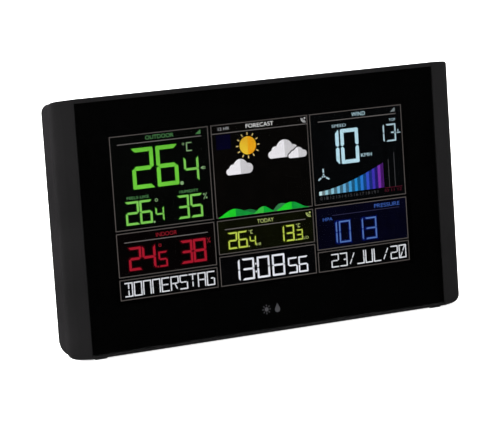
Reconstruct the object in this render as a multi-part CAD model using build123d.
from build123d import *
import os
from math import cos, radians, sin

# Home weather station: a wide, flat desk display that leans back on a fold-out stand.
# Everything is modelled upright first: X to the viewer's right, Y back into the case, Z up, with the
# origin in the middle of the front face. place() then leans it back and stands it on the table.

os.makedirs("parts", exist_ok=True)

# ---- the case, millimetres -------------------------------------------------------------------
LEAN_DEG = 8.5             # how far the case leans back
TABLE_DROP = 64.2          # table level below the middle of the front face, once leaned
WALL = 2.2                 # moulded wall
PARTING_Y = 16.0           # front housing meets rear cover here
SEAM_WIDTH = 0.35          # shadow line left between them on the outside
SEAM_DEPTH = 0.4
BACK_Y = 24.6              # outside of the flat back
BACK_WALL = 2.0
MIN_CORNER_R = 0.2
# depth, half width, top, bottom, upper corner radius, lower corner radius of the outline
FRONT_ROWS = (
    (0.0, 100.9, 63.95, -64.05, 0.3, 0.4),
    (1.3, 106.6, 63.7, -63.75, 0.7, 1.6),
)
CREASE_ROWS = (
    (1.3, 106.6, 63.7, -63.75, 0.7, 1.6),
    (2.1, 109.2, 63.5, -63.55, 0.9, 2.5),
    (3.0, 110.85, 63.3, -63.35, 1.2, 3.3),
    (4.2, 111.6, 63.0, -63.1, 1.6, 3.8),
)
SIDE_ROWS = (
    (4.2, 111.6, 63.0, -63.1, 1.6, 3.8),
    (9.5, 111.85, 62.1, -62.15, 2.9, 4.8),
    (15.0, 111.4, 61.2, -60.75, 4.0, 6.4),
    (18.0, 109.6, 60.0, -58.55, 4.9, 7.6),
    (21.0, 106.5, 58.4, -56.4, 5.7, 8.8),
    (BACK_Y, 101.3, 55.4, -53.9, 6.5, 9.8),
)

# ---- window and display ----------------------------------------------------------------------
WINDOW_HALF_X = 99.95
WINDOW_TOP = 61.5
WINDOW_BOTTOM = -62.7
WINDOW_FRONT_Y = 0.3
WINDOW_BACK_Y = 2.1
PRINT_BACK_Y = 2.2
TAPE_SIDE = 6.6
TAPE_TOP = 4.5
TAPE_BOTTOM = 7.4
LEDGE_Y = 2.4              # the window's tape sticks to this ledge
LEDGE_BACK_Y = 4.4
FIT_GAP = 0.2
LEDGE_OPENING = (-92.0, 92.0, -54.0, 56.0)
VIEW_OPENING = (-84.0, 84.0, -39.4, 45.6)
RIDGE_WIDTH = 0.6          # fine bead round the window
RIDGE_RISE = 0.2

GLASS_HALF_X = 86.0
GLASS_TOP = 47.5
FRONT_GLASS_BOTTOM = -41.5
REAR_GLASS_BOTTOM = -45.5
POLARISER_FRONT_Y = (2.4, 2.6)
GLASS_FRONT_Y = (2.6, 3.2)
GLASS_REAR_Y = (3.2, 3.8)
POLARISER_REAR_Y = (3.8, 4.0)
DIFFUSER_Y = (4.1, 4.4)
GUIDE_Y = (4.4, 7.4)
REFLECTOR_Y = (7.4, 7.6)
TRAY_HALF_X = 88.8
TRAY_TOP = 51.8
TRAY_BOTTOM = -48.0
TRAY_WALL = 1.6
TRAY_FRONT_Y = 2.7
TRAY_FLOOR_Y = (7.7, 8.9)
LED_COUNT = 14
BACKLIGHT_X = 50.0
FLEX_HALF_X = 34.0
FLEX_THICK = 0.2

# ---- electronics -----------------------------------------------------------------------------
BOARD = (-80.0, 80.0, -46.5, 50.0)
BOARD_Y = (10.5, 12.1)
BOARD_HOLES = ((-74.0, 44.0), (74.0, 44.0), (-40.0, -42.0), (74.0, -42.0))
TRAY_TABS = ((-94.0, 28.0), (94.0, 28.0), (-94.0, -30.0), (94.0, -30.0))
CASE_SCREWS = ((-96.5, 47.5), (96.5, 47.5), (-96.5, -45.0), (96.5, -45.0))

# ---- keys ------------------------------------------------------------------------------------
KEY_TRAVEL = 0.5
REAR_KEYS = {
    "key_mode": 32.0,
    "key_set": 22.0,
    "key_up": 12.0,
    "key_down": 2.0,
    "key_alarm": -8.0,
    "key_sensor": -18.0,
}
KEY_X = 62.0
KEY_SIZE = (9.0, 5.0)
KEY_PROUD = 0.9
SWITCH_BACK_Y = 15.6
PLUNGER_R = 1.7
PLUNGER_Y = (14.4, 18.0)
RESET_X = 46.0
RESET_Z = -18.0
SLIDER_X = 62.0
SLIDER_Z = -31.0
SLIDER_STEP = 3.0
SNOOZE = (-17.0, 17.0, 5.8, 13.2)
SNOOZE_PROUD = 0.35
SNOOZE_STEM_END = 51.6

# ---- coin cell compartment -------------------------------------------------------------------
CELL_X = -56.0
CELL_Z = -24.0
CELL_R = 10.0
CELL_Y = (17.5, 20.7)
WELL_R = 10.4
DOOR_R = 13.0
DOOR_LUG_R = 14.6
DOOR_GAP = 0.2
DOOR_LUG_Y = (20.4, 21.6)
DOOR_LUGS = 3
DOOR_LUG_DEG = 28.0
DOOR_TURN_DEG = 40.0

# ---- power socket, sensors and radio ---------------------------------------------------------
JACK_X = -66.0
JACK_Z = 8.0
JACK_BORE_R = 2.75
BUZZER_X = -44.0
BUZZER_Z = 22.0
SENSOR_X = -90.0
SENSOR_Z = 22.0
ANTENNA_R = 0.5
HOOK_X = 40.0              # keyhole spacing is twice this
HOOK_Z = 47.0
HOOK_HEAD_R = 4.0
HOOK_NECK_R = 2.1
HOOK_RISE = 6.0

# ---- stand -----------------------------------------------------------------------------------
STAND_OPEN_DEG = 27.0
STAND_PIVOT_Y = 21.5
STAND_PIVOT_Z = -3.0
STAND_HALF_X = 25.0
STAND_HALF_T = 2.5
STAND_HEEL = 6.0
AXLE_R = 1.5
AXLE_GAP = 0.05
AXLE_HALF_X = 30.0
RECESS_FLOOR_Y = 16.5
RECESS_HALF_X = 25.5
RECESS_TOP = 5.0
PAD_HALF_X = 20.0


def block(x0, x1, y0, y1, z0, z1):
    """A box between two corners."""
    return Pos((x0 + x1) / 2, (y0 + y1) / 2, (z0 + z1) / 2) * Box(x1 - x0, y1 - y0, z1 - z0)


def slab(window, y0, y1):
    """A flat sheet whose outline is (left, right, bottom, top)."""
    left, right, bottom, top = window
    return block(left, right, y0, y1, bottom, top)


def peg(x, z, radius, y0, y1):
    """A round bar running front to back."""
    middle = Pos(x, (y0 + y1) / 2, z) * Rot(X=90)
    return middle * Cylinder(radius, y1 - y0)


def rod_x(y, z, radius, half_x):
    """A round bar running left to right."""
    return Pos(0, y, z) * Rot(Y=90) * Cylinder(radius, 2 * half_x)


def outline(row, inset):
    """The case's rounded outline at one depth, pulled in by the inset."""
    depth, half_x, top, bottom, upper_r, lower_r = row
    plane = Plane(origin=(0, depth, (top + bottom) / 2), x_dir=(1, 0, 0), z_dir=(0, -1, 0))
    shape = Rectangle(2 * (half_x - inset), top - bottom - 2 * inset)
    shape = fillet(shape.vertices().group_by(Axis.Y)[-1], max(upper_r - inset, MIN_CORNER_R))
    shape = fillet(shape.vertices().group_by(Axis.Y)[0], max(lower_r - inset, MIN_CORNER_R))
    return plane * shape


def case_solid(inset):
    """The whole case as one solid, pulled in by the inset on its four sides."""
    front = loft([outline(row, inset) for row in FRONT_ROWS], ruled=True)
    crease = loft([outline(row, inset) for row in CREASE_ROWS])
    side = loft([outline(row, inset) for row in SIDE_ROWS])
    return front + crease + side


def side_rib(inset_out, inset_in, y0, y1):
    """A band that follows the inside of the case's side walls between two depths."""
    band = block(-120, 120, y0, y1, -70, 70)
    return (case_solid(inset_out) & band) - case_solid(inset_in)


def front_housing():
    outer = case_solid(0) & block(-120, 120, -1, PARTING_Y, -70, 70)
    cavity = case_solid(WALL) & block(-120, 120, LEDGE_BACK_Y, PARTING_Y + 1, -70, 70)
    body = outer - cavity
    edge = WINDOW_HALF_X + FIT_GAP
    low = WINDOW_BOTTOM - FIT_GAP
    high = WINDOW_TOP + FIT_GAP
    reach = edge + RIDGE_WIDTH
    bead = block(-reach, reach, -RIDGE_RISE, 1, low - RIDGE_WIDTH, high + RIDGE_WIDTH)
    body += bead
    body -= block(-edge, edge, -1, LEDGE_Y, low, high)
    body -= slab(LEDGE_OPENING, 0, LEDGE_BACK_Y + 1)
    for x, z in TRAY_TABS:
        body += peg(x, z, 2.6, LEDGE_BACK_Y - 0.5, TRAY_FLOOR_Y[0])
        body -= peg(x, z, 1.05, LEDGE_BACK_Y + 0.2, TRAY_FLOOR_Y[0] + 1)
    for x, z in CASE_SCREWS:
        body += peg(x, z, 3.5, LEDGE_BACK_Y - 0.5, 17.8)
        body -= peg(x, z, 1.25, 7.5, 18.5)
    x0, x1, y0, y1 = SNOOZE
    body -= block(x0 - 0.25, x1 + 0.25, y0 - 0.25, y1 + 0.25, 50, 70)
    return body


def snooze_key():
    """The wide key in the top edge, its face following the case's slope."""
    x0, x1, y0, y1 = SNOOZE
    cap = block(x0, x1, y0, y1, 57.6, 70) & (Pos(0, 0, SNOOZE_PROUD) * case_solid(0))
    flange = block(x0 - 1.6, x1 + 1.6, 4.8, 14.4, 57.2, 70) & (Pos(0, 0, -0.1) * case_solid(WALL))
    stem = block(-2, 2, 12.9, 14.4, SNOOZE_STEM_END, 58)
    return cap + flange + stem


def window_panel():
    panel = block(-WINDOW_HALF_X, WINDOW_HALF_X, WINDOW_FRONT_Y, WINDOW_BACK_Y, WINDOW_BOTTOM, WINDOW_TOP)
    rim = panel.faces().sort_by(Axis.Y)[0].edges()
    return chamfer(rim, 0.15)


def window_print():
    """Black print behind the window, with a clear opening over the display."""
    margin = 0.1
    half = WINDOW_HALF_X - margin
    sheet = block(-half, half, WINDOW_BACK_Y, PRINT_BACK_Y, WINDOW_BOTTOM + margin, WINDOW_TOP - margin)
    return sheet - slab(VIEW_OPENING, 0, LEDGE_Y)


def window_tape():
    """Adhesive frame between the window and the ledge."""
    half = WINDOW_HALF_X - 0.3
    inner = half - TAPE_SIDE
    ring = block(-half, half, PRINT_BACK_Y, LEDGE_Y, WINDOW_BOTTOM + 0.3, WINDOW_TOP - 0.3)
    opening_top = WINDOW_TOP - TAPE_TOP
    return ring - block(-inner, inner, 0, LEDGE_Y + 1, WINDOW_BOTTOM + TAPE_BOTTOM, opening_top)


def display_sheet(y_range, bottom, margin=0.0):
    half = GLASS_HALF_X - margin
    return block(-half, half, *y_range, bottom + margin, GLASS_TOP - margin)


def lcd_tray():
    """Plastic tray that holds the display stack and carries the main board."""
    tray = block(-TRAY_HALF_X, TRAY_HALF_X, TRAY_FRONT_Y, TRAY_FLOOR_Y[1], TRAY_BOTTOM, TRAY_TOP)
    inner = TRAY_HALF_X - TRAY_WALL
    tray -= block(-inner, inner, 0, TRAY_FLOOR_Y[0], TRAY_BOTTOM + TRAY_WALL, TRAY_TOP - TRAY_WALL)
    tray -= block(-FLEX_HALF_X - 1, FLEX_HALF_X + 1, 0, 10, TRAY_BOTTOM - 1, TRAY_BOTTOM + TRAY_WALL)
    notch_bottom = TRAY_TOP - TRAY_WALL - 0.5
    tray -= block(BACKLIGHT_X - 3.5, BACKLIGHT_X + 3.5, GUIDE_Y[1] - 0.2, 10, notch_bottom, TRAY_TOP + 1)
    for x, z in TRAY_TABS:
        side = 1 if x > 0 else -1
        reach = sorted((x, side * (TRAY_HALF_X - 1)))
        tray += block(*reach, *TRAY_FLOOR_Y, z - 3.4, z + 3.4) + peg(x, z, 3.4, *TRAY_FLOOR_Y)
        tray -= peg(x, z, 1.2, 7, 10)
    for x, z in BOARD_HOLES:
        tray += peg(x, z, 2.6, TRAY_FLOOR_Y[0], BOARD_Y[0])
        tray -= peg(x, z, 0.95, 8.0, 11)
    return tray


def backlight_strip():
    """Narrow board of light-emitting diodes along the top of the light guide."""
    top = TRAY_TOP - TRAY_WALL
    strip = block(-GLASS_HALF_X, GLASS_HALF_X, *GUIDE_Y, top - 0.9, top - 0.1)
    pitch = 2 * GLASS_HALF_X / LED_COUNT
    for i in range(LED_COUNT):
        x = -GLASS_HALF_X + pitch * (i + 0.5)
        strip += block(x - 1.6, x + 1.6, GUIDE_Y[0] + 0.4, GUIDE_Y[1] - 0.4, top - 1.8, top - 0.9)
    return strip


def light_guide():
    half = GLASS_HALF_X - 0.3
    return block(-half, half, *GUIDE_Y, REAR_GLASS_BOTTOM, TRAY_TOP - TRAY_WALL - 2.0)


def flat_cable(points, half_x, x):
    """A flexible cable as joined flat pieces, each stated as (y0, y1, z0, z1)."""
    cable = block(x - half_x, x + half_x, *points[0])
    for piece in points[1:]:
        cable += block(x - half_x, x + half_x, *piece)
    return cable


def lcd_flex():
    """Cable from the glass's contact edge, under the tray, to the front of the main board."""
    glass_face = GLASS_REAR_Y[0]
    drop = TRAY_BOTTOM - 0.4
    board_face = BOARD_Y[0]
    pieces = (
        (glass_face - FLEX_THICK, glass_face, drop, FRONT_GLASS_BOTTOM - 0.6),
        (glass_face - FLEX_THICK, board_face, drop - FLEX_THICK, drop),
        (board_face - FLEX_THICK, board_face, drop - FLEX_THICK, BOARD[2] + 3.0),
    )
    return flat_cable(pieces, FLEX_HALF_X, 0.0)


def backlight_flex():
    """Narrow cable from the backlight over the top of the tray to the main board."""
    top = TRAY_TOP
    pieces = (
        (GUIDE_Y[1], GUIDE_Y[1] + FLEX_THICK, top - TRAY_WALL - 0.9, top + 0.4),
        (GUIDE_Y[1], BOARD_Y[1] + FLEX_THICK, top + 0.4, top + 0.4 + FLEX_THICK),
        (BOARD_Y[1], BOARD_Y[1] + FLEX_THICK, BOARD[3] - 4.0, top + 0.4 + FLEX_THICK),
    )
    return flat_cable(pieces, 3.0, BACKLIGHT_X)


def main_board():
    board = slab(BOARD, *BOARD_Y)
    for x, z in BOARD_HOLES:
        board -= peg(x, z, 1.2, 9, 14)
    return board


def chip(x, z, size, height, legs=0, pitch=1.0):
    """A moulded package on the back of the main board, with gull-wing legs on two sides."""
    face = BOARD_Y[1]
    half = size / 2
    body = block(x - half, x + half, face + 0.1, face + height, z - half, z + half)
    body = chamfer(body.faces().sort_by(Axis.Y)[-1].edges(), 0.15)
    for i in range(legs):
        leg_z = z + (i - (legs - 1) / 2) * pitch
        body += block(x - half - 1, x + half + 1, face, face + 0.3, leg_z - 0.2, leg_z + 0.2)
    return body


def processor():
    return chip(-4.0, 26.0, 12.0, 1.5, legs=12, pitch=0.9)


def display_driver():
    return chip(0.0, -36.0, 9.0, 1.4, legs=9, pitch=0.9)


def pressure_sensor():
    face = BOARD_Y[1]
    can = peg(-22.0, 30.0, 1.9, face + 0.9, face + 1.7) - peg(-22.0, 30.0, 0.5, face + 1.3, face + 2)
    return can + block(-24.5, -19.5, face, face + 0.9, 27.5, 32.5)


def clock_crystal():
    face = BOARD_Y[1]
    return Pos(-4.0, face + 1.1, 38.5) * Rot(Y=90) * Cylinder(1.1, 6.0)


def capacitors():
    """Tall round capacitors beside the power socket."""
    face = BOARD_Y[1]
    places = ((-66.0, 24.0, 3.2, 7.0), (-57.0, 24.0, 2.5, 5.5), (-57.0, 33.0, 2.5, 5.5))
    return Compound(children=[peg(x, z, radius, face, face + tall) for x, z, radius, tall in places])


def buzzer():
    face = BOARD_Y[1]
    can = peg(BUZZER_X, BUZZER_Z, 7.0, face, face + 4.5)
    return can - peg(BUZZER_X, BUZZER_Z, 1.2, face + 2.5, face + 5)


def radio_module():
    """Receiver on its own little board, with a screening can."""
    face = BOARD_Y[1]
    board = block(24.0, 44.0, face + 0.6, face + 1.4, 28.0, 44.0)
    can = block(26.0, 38.0, face + 1.4, face + 3.6, 30.0, 42.0)
    module = board + can
    for i in range(6):
        z = 30.0 + 2.4 * i
        module += block(42.4, 43.0, face, face + 0.6, z - 0.3, z + 0.3)
    return module


def antenna_wire():
    """Stiff wire that stands up from the radio module and runs to the right end of the case."""
    root = BOARD_Y[1] + 1.4
    y = BOARD_Y[1] + 5.0
    points = ((40.4, root, 36.0), (40.4, y, 36.0), (52.0, y, 45.0), (84.0, y, 45.0), (84.0, y, 12.0))
    wire = None
    for start, end in zip(points, points[1:]):
        line = Line(start, end)
        piece = extrude(Plane(origin=line @ 0, z_dir=line % 0) * Circle(ANTENNA_R), line.length)
        piece += Pos(*end) * Sphere(ANTENNA_R)
        wire = piece if wire is None else wire + piece
    return wire


def humidity_sensor():
    """Vented temperature and humidity sensor on a small board at the left end of the case."""
    board = block(SENSOR_X - 4, SENSOR_X + 4, 14.0, 15.0, SENSOR_Z - 8, SENSOR_Z + 10)
    box = block(SENSOR_X - 2.5, SENSOR_X + 2.5, 15.0, 18.5, SENSOR_Z - 4, SENSOR_Z + 4)
    for i in range(4):
        z = SENSOR_Z - 2.7 + 1.8 * i
        box -= block(SENSOR_X - 1.8, SENSOR_X + 1.8, 17.6, 19, z - 0.35, z + 0.35)
    return board + box


def sensor_lead():
    """Ribbon from the sensor board to the main board."""
    y = 13.8
    ribbon = block(SENSOR_X, -76.0, y, 14.0, SENSOR_Z - 7, SENSOR_Z - 3)
    return ribbon + block(-76.2, -76.0, BOARD_Y[1], 14.0, SENSOR_Z - 7, SENSOR_Z - 3)


def screws(places, head_r, head_y, shank_r, tip_y):
    """Cross-head screws driven from the back, one separate solid each."""
    solids = []
    under, top = head_y
    for x, z in places:
        screw = peg(x, z, head_r, under, top) + peg(x, z, shank_r, tip_y, under)
        for turn in (0, 90):
            slot = Pos(x, top, z) * Rot(Y=turn) * Box(head_r * 1.2, 1.0, head_r * 0.28)
            screw -= slot
        solids.append(screw)
    return Compound(children=solids)


def tact_switches():
    """Six key switches and the reset switch, soldered to the main board."""
    face = BOARD_Y[1]
    solids = []
    places = [(KEY_X, z) for z in REAR_KEYS.values()] + [(RESET_X, RESET_Z)]
    for x, z in places:
        switch = block(x - 3, x + 3, face, SWITCH_BACK_Y, z - 3, z + 3)
        switch -= peg(x, z, PLUNGER_R + 0.1, PLUNGER_Y[0] - KEY_TRAVEL - 0.2, SWITCH_BACK_Y + 1)
        solids.append(switch)
    return Compound(children=solids)


def snooze_switch():
    """Side-acting switch at the board's top edge, pressed from above."""
    face = BOARD_Y[1]
    switch = block(-3.5, 3.5, face, 15.6, 43.6, 49.6)
    return switch - Pos(0, 13.85, 48.6) * Cylinder(1.3, 3.2)


def snooze_plunger():
    return Pos(0, 13.85, (47.7 + SNOOZE_STEM_END) / 2) * Cylinder(1.2, SNOOZE_STEM_END - 47.7)


def rear_key(z, x=KEY_X, size=KEY_SIZE):
    """A key in the rear cover: cap, retaining flange and a stem to its switch."""
    inside = BACK_Y - BACK_WALL
    half_x, half_z = size[0] / 2, size[1] / 2
    cap = block(x - half_x, x + half_x, inside - 0.2, BACK_Y + KEY_PROUD, z - half_z, z + half_z)
    cap = fillet(cap.edges().filter_by(Axis.Y), 1.6)
    cap = chamfer(cap.faces().sort_by(Axis.Y)[-1].edges(), 0.3)
    wide, tall = half_x + 1, half_z + 0.9
    flange = block(x - wide, x + wide, inside - 1.2, inside - 0.1, z - tall, z + tall)
    return cap + flange + peg(x, z, 1.8, PLUNGER_Y[1], inside - 1)


def plunger(z, x=KEY_X):
    return peg(x, z, PLUNGER_R, *PLUNGER_Y)


def reset_key():
    """Small recessed pin, pressed with a pen."""
    inside = BACK_Y - BACK_WALL
    pin = peg(RESET_X, RESET_Z, 1.3, inside - 0.2, BACK_Y - 0.6)
    pin += peg(RESET_X, RESET_Z, 2.2, inside - 1.2, inside - 0.1)
    return pin + peg(RESET_X, RESET_Z, 1.8, PLUNGER_Y[1], inside - 1)


def dimmer_switch():
    """Body of the slide switch that dims the backlight."""
    face = BOARD_Y[1]
    body = block(SLIDER_X - 6.5, SLIDER_X + 6.5, face, 18.6, SLIDER_Z - 3, SLIDER_Z + 3)
    return body - block(SLIDER_X - 4.2, SLIDER_X + 4.2, 15.4, 20, SLIDER_Z - 1.2, SLIDER_Z + 1.2)


def dimmer_knob():
    """Ribbed slider, shown at the end of its travel nearest the keys' outer side."""
    x = SLIDER_X - SLIDER_STEP / 2
    knob = block(x - 2.4, x + 2.4, 19.0, BACK_Y + 0.6, SLIDER_Z - 1.7, SLIDER_Z + 1.7)
    knob += block(x - 2.4, x + 2.4, 15.6, 19.2, SLIDER_Z - 1.0, SLIDER_Z + 1.0)
    for i in range(4):
        rib_x = x - 1.5 + i
        knob -= block(rib_x - 0.2, rib_x + 0.2, BACK_Y + 0.3, BACK_Y + 1, SLIDER_Z - 2, SLIDER_Z + 2)
    return knob


def power_socket():
    face = BOARD_Y[1]
    body = block(JACK_X - 4.5, JACK_X + 4.5, face, 22.2, JACK_Z - 5.5, JACK_Z + 4.5)
    return body - peg(JACK_X, JACK_Z, JACK_BORE_R, 13.2, 23)


def socket_pin():
    return peg(JACK_X, JACK_Z, 1.0, 13.2, 21.7)


def coin_cell():
    cell = peg(CELL_X, CELL_Z, CELL_R, *CELL_Y)
    return chamfer(cell.edges().sort_by(Axis.Y)[-1], 0.3)


def cell_contact_negative():
    """Spring plate under the coin cell, with a tail to the main board."""
    plate = peg(CELL_X, CELL_Z, 6.0, CELL_Y[0] - 0.4, CELL_Y[0])
    return plate + block(CELL_X - 2, CELL_X + 2, BOARD_Y[1], CELL_Y[0] - 0.1, CELL_Z - 0.3, CELL_Z + 0.3)


def cell_contact_positive():
    """Spring blade against the coin cell's rim, with a tail to the main board."""
    x = CELL_X + CELL_R
    return block(x, x + 0.35, BOARD_Y[1], 20.1, CELL_Z - 3, CELL_Z + 3)


def sector(x, z, radius, y0, y1, centre_deg, span_deg):
    """A pie slice of a disc that lies in the XZ plane, angles counted from +X towards +Z."""
    far = radius * 3
    low = radians(centre_deg - span_deg / 2)
    high = radians(centre_deg + span_deg / 2)
    corners = [(x, z), (x + far * cos(low), z + far * sin(low)), (x + far * cos(high), z + far * sin(high))]
    face = make_face(Polyline(*corners, close=True))
    wedge = Plane(origin=(0, y0, 0), x_dir=(1, 0, 0), z_dir=(0, -1, 0)) * face
    return extrude(wedge, amount=-(y1 - y0)) & peg(x, z, radius, y0, y1)


def lug_angles():
    return [90 + i * 360 / DOOR_LUGS for i in range(DOOR_LUGS)]


def battery_door():
    """Round bayonet lid over the coin cell, turned with a coin."""
    rim = BACK_Y - 1.7
    door = peg(CELL_X, CELL_Z, DOOR_R, DOOR_LUG_Y[0], BACK_Y)
    door -= peg(CELL_X, CELL_Z, DOOR_R - 1.8, DOOR_LUG_Y[0] - 1, rim)
    door += peg(CELL_X, CELL_Z, 5.0, CELL_Y[1] + 0.1, rim + 0.2)
    for angle in lug_angles():
        lug = sector(CELL_X, CELL_Z, DOOR_LUG_R, *DOOR_LUG_Y, angle, DOOR_LUG_DEG)
        door += lug - peg(CELL_X, CELL_Z, DOOR_R - 1, 19, 23)
    door -= block(CELL_X - 7.5, CELL_X + 7.5, BACK_Y - 1.0, BACK_Y + 1, CELL_Z - 0.9, CELL_Z + 0.9)
    return door


def cell_well():
    """Ring, floor and bayonet track that the rear cover forms for the coin cell."""
    ring = peg(CELL_X, CELL_Z, 17.0, CELL_Y[0] - 1.5, BACK_Y)
    ring -= peg(CELL_X, CELL_Z, WELL_R, CELL_Y[0] - 0.45, BACK_Y + 1)
    ring -= peg(CELL_X, CELL_Z, DOOR_R + DOOR_GAP, DOOR_LUG_Y[0] - 0.3, BACK_Y + 1)
    track_r = DOOR_LUG_R + DOOR_GAP
    ring -= peg(CELL_X, CELL_Z, track_r, DOOR_LUG_Y[0] - 0.3, DOOR_LUG_Y[1] + 0.1)
    for angle in lug_angles():
        start = angle - DOOR_TURN_DEG
        ring -= sector(CELL_X, CELL_Z, track_r, DOOR_LUG_Y[0], BACK_Y + 1, start, DOOR_LUG_DEG + 4)
    ring -= block(CELL_X - 2.3, CELL_X + 2.3, 15, 18, CELL_Z - 0.6, CELL_Z + 0.6)
    edge = CELL_X + CELL_R
    return ring - block(edge - 0.2, edge + 0.6, 15, 20.3, CELL_Z - 3.3, CELL_Z + 3.3)


def stand_recess():
    """Pocket in the back that the stand folds into, open at the bottom edge."""
    return block(-RECESS_HALF_X, RECESS_HALF_X, RECESS_FLOOR_Y, 30, -80, RECESS_TOP)


def hook_slot(x):
    """Keyhole for a wall screw: drop the head in, then slide down onto the neck."""
    head = peg(x, HOOK_Z - HOOK_RISE, HOOK_HEAD_R, BACK_Y - BACK_WALL - 1, BACK_Y + 1)
    neck = block(x - HOOK_NECK_R, x + HOOK_NECK_R, 20, 30, HOOK_Z - HOOK_RISE, HOOK_Z)
    return head + neck + peg(x, HOOK_Z, HOOK_NECK_R, 20, 30)


def rear_cover():
    inside = BACK_Y - BACK_WALL
    cover = case_solid(0) & block(-120, 120, PARTING_Y + SEAM_WIDTH, 30, -70, 70)
    cover += case_solid(SEAM_DEPTH) & block(-120, 120, PARTING_Y, PARTING_Y + SEAM_WIDTH, -70, 70)
    cover -= case_solid(WALL) & block(-120, 120, PARTING_Y - 1, inside, -70, 70)
    cover += side_rib(WALL + 0.1, WALL + 1.2, PARTING_Y - 1.4, PARTING_Y + 0.6)
    cover += side_rib(WALL - 0.4, WALL + 1.2, PARTING_Y + 0.05, PARTING_Y + 1.4)
    half, top = RECESS_HALF_X + 6, RECESS_TOP + 1.6
    pocket = block(-half, half, PARTING_Y, inside + 0.5, -70, top)
    floor = block(-half, half, RECESS_FLOOR_Y - 1.4, PARTING_Y + 0.2, -56.5, top)
    cover += (pocket & case_solid(WALL - 0.3)) + floor
    cover -= stand_recess()
    cover -= rod_x(STAND_PIVOT_Y, STAND_PIVOT_Z, AXLE_R + AXLE_GAP, AXLE_HALF_X + 0.3)
    for x, z in CASE_SCREWS:
        cover += peg(x, z, 3.5, 17.8, inside + 0.5)
        cover -= peg(x, z, 3.1, 20.3, 30)
        cover -= peg(x, z, 1.6, 17, 30)
    cover -= peg(CELL_X, CELL_Z, 16.0, CELL_Y[0] - 3, 30)
    cover += cell_well()
    for z in REAR_KEYS.values():
        half_x, half_z = KEY_SIZE[0] / 2 + 0.2, KEY_SIZE[1] / 2 + 0.2
        hole = block(KEY_X - half_x, KEY_X + half_x, 22, 30, z - half_z, z + half_z)
        cover -= fillet(hole.edges().filter_by(Axis.Y), 1.7)
    cover -= peg(RESET_X, RESET_Z, 1.5, 22, 30)
    slot = SLIDER_STEP / 2 + 2.6
    cover -= block(SLIDER_X - slot, SLIDER_X + slot, 22, 30, SLIDER_Z - 1.9, SLIDER_Z + 1.9)
    cover -= peg(JACK_X, JACK_Z, 5.2, 22, 30)
    for x in (-HOOK_X, HOOK_X):
        cover -= hook_slot(x)
    return cover - vents()


def vents():
    """Air slots over the sensor and a cluster of sound holes over the buzzer."""
    inside = BACK_Y - BACK_WALL
    cuts = []
    for i in range(7):
        z = SENSOR_Z - 9 + 3.2 * i
        cuts.append(block(SENSOR_X - 7, SENSOR_X + 7, inside - 3, BACK_Y + 1, z - 0.8, z + 0.8))
    for i in range(6):
        angle = radians(60 * i)
        x = BUZZER_X + 4 * cos(angle)
        z = BUZZER_Z + 4 * sin(angle)
        cuts.append(peg(x, z, 0.8, inside - 1, BACK_Y + 1))
    cuts.append(peg(BUZZER_X, BUZZER_Z, 0.8, inside - 1, BACK_Y + 1))
    return Compound(children=cuts)


def front_feet():
    """Two rubber feet under the front edge, their undersides level with the table."""
    solids = []
    for x0, x1 in ((-98.3, -92.0), (92.0, 98.3)):
        foot = block(x0, x1, 1.2, 7.5, -67, -60) - case_solid(0)
        solids.append(level_cut(foot.solids().sort_by(Axis.Z)[0]))
    return Compound(children=solids)


def level_cut(shape):
    """Trim a leaned shape at table level, working in the upright frame."""
    table = block(-150, 150, -60, 120, -150, 0)
    return shape - Rot(X=LEAN_DEG) * Pos(0, 0, -TABLE_DROP) * table


def stand_length():
    """Distance from the pivot to the middle of the pad's round end, so that it meets the table."""
    lean = radians(LEAN_DEG)
    pivot_height = TABLE_DROP - STAND_PIVOT_Y * sin(lean) + STAND_PIVOT_Z * cos(lean)
    return (pivot_height - STAND_HALF_T) / cos(radians(STAND_OPEN_DEG) - lean)


def opened(shape):
    """Swing a stand piece from folded flat to its open stop."""
    pivot = Pos(0, STAND_PIVOT_Y, STAND_PIVOT_Z)
    return pivot * Rot(X=STAND_OPEN_DEG) * shape


def stand():
    """Flat leg with a stiffening frame; its heel rests on the recess floor when open."""
    length = stand_length()
    half_x, half_t = STAND_HALF_X, STAND_HALF_T
    leg = block(-half_x, half_x, -half_t, half_t, -length, 0)
    leg += block(-half_x, half_x, -half_t, half_t, 0, STAND_HEEL)
    leg = fillet(leg.faces().sort_by(Axis.Z)[0].edges().filter_by(Axis.Y), 4.0)
    leg -= block(-half_x + 5, half_x - 5, -half_t - 1, half_t - 2.0, -length + 8, -9)
    for i in range(5):
        z = -length + 4 + 2.4 * i
        leg -= block(-14, 14, half_t - 0.5, half_t + 1, z - 0.5, z + 0.5)
    leg -= rod_x(0, 0, AXLE_R, half_x + 1)
    return opened(leg)


def stand_axle():
    return opened(rod_x(0, 0, AXLE_R, AXLE_HALF_X))


def stand_pad():
    """Round-ended rubber strip on the tip of the stand."""
    length = stand_length()
    strip = rod_x(0, -length, STAND_HALF_T, PAD_HALF_X)
    return opened(strip & block(-30, 30, -5, 5, -length - 5, -length))


def place(shape, shift_y):
    """Lean the upright shape back and stand it on the table."""
    return Pos(0, shift_y, TABLE_DROP) * Rot(X=-LEAN_DEG) * shape


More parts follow.
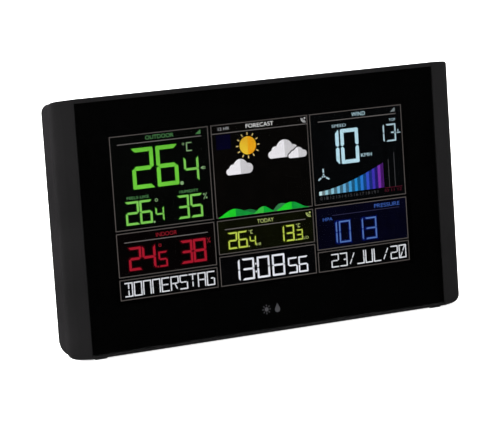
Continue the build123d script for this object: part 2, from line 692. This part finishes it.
def pieces():
    """Every piece in the upright frame, by node name."""
    parts = {
        "front_housing": front_housing(),
        "rear_cover": rear_cover(),
        "window_panel": window_panel(),
        "window_print": window_print(),
        "window_tape": window_tape(),
        "front_polariser": display_sheet(POLARISER_FRONT_Y, FRONT_GLASS_BOTTOM, 0.8),
        "lcd_front_glass": display_sheet(GLASS_FRONT_Y, FRONT_GLASS_BOTTOM),
        "lcd_rear_glass": display_sheet(GLASS_REAR_Y, REAR_GLASS_BOTTOM),
        "rear_polariser": display_sheet(POLARISER_REAR_Y, FRONT_GLASS_BOTTOM, 0.8),
        "diffuser_sheet": display_sheet(DIFFUSER_Y, REAR_GLASS_BOTTOM, 0.3),
        "light_guide": light_guide(),
        "reflector_sheet": display_sheet(REFLECTOR_Y, REAR_GLASS_BOTTOM, 0.3),
        "backlight_strip": backlight_strip(),
        "lcd_tray": lcd_tray(),
        "lcd_flex": lcd_flex(),
        "backlight_flex": backlight_flex(),
        "main_board": main_board(),
        "processor": processor(),
        "display_driver": display_driver(),
        "pressure_sensor": pressure_sensor(),
        "humidity_sensor": humidity_sensor(),
        "sensor_lead": sensor_lead(),
        "clock_crystal": clock_crystal(),
        "capacitors": capacitors(),
        "buzzer": buzzer(),
        "radio_module": radio_module(),
        "antenna_wire": antenna_wire(),
        "tact_switches": tact_switches(),
        "snooze_switch": snooze_switch(),
        "snooze_plunger": snooze_plunger(),
        "snooze_key": snooze_key(),
        "reset_key": reset_key(),
        "reset_plunger": plunger(RESET_Z, RESET_X),
        "dimmer_switch": dimmer_switch(),
        "dimmer_knob": dimmer_knob(),
        "power_socket": power_socket(),
        "socket_pin": socket_pin(),
        "coin_cell": coin_cell(),
        "cell_contact_negative": cell_contact_negative(),
        "cell_contact_positive": cell_contact_positive(),
        "battery_door": battery_door(),
        "case_screws": screws(CASE_SCREWS, 2.8, (20.3, 22.4), 1.2, 8.5),
        "tray_screws": screws(TRAY_TABS, 2.2, (8.9, 10.3), 1.0, 5.2),
        "board_screws": screws(BOARD_HOLES, 2.1, (12.1, 13.4), 0.9, 8.4),
        "front_feet": front_feet(),
        "stand": stand(),
        "stand_axle": stand_axle(),
        "stand_pad": stand_pad(),
    }
    for name, z in REAR_KEYS.items():
        parts[name] = rear_key(z)
        parts[name + "_plunger"] = plunger(z)
    return parts


def main():
    parts = pieces()
    leaned = [place(shape, 0.0) for shape in parts.values()]
    nearest = min(shape.bounding_box().min.Y for shape in leaned)
    farthest = max(shape.bounding_box().max.Y for shape in leaned)
    middle = (nearest + farthest) / 2
    for name, shape in parts.items():
        export_step(place(shape, -middle), f"parts/{name}.step")


main()
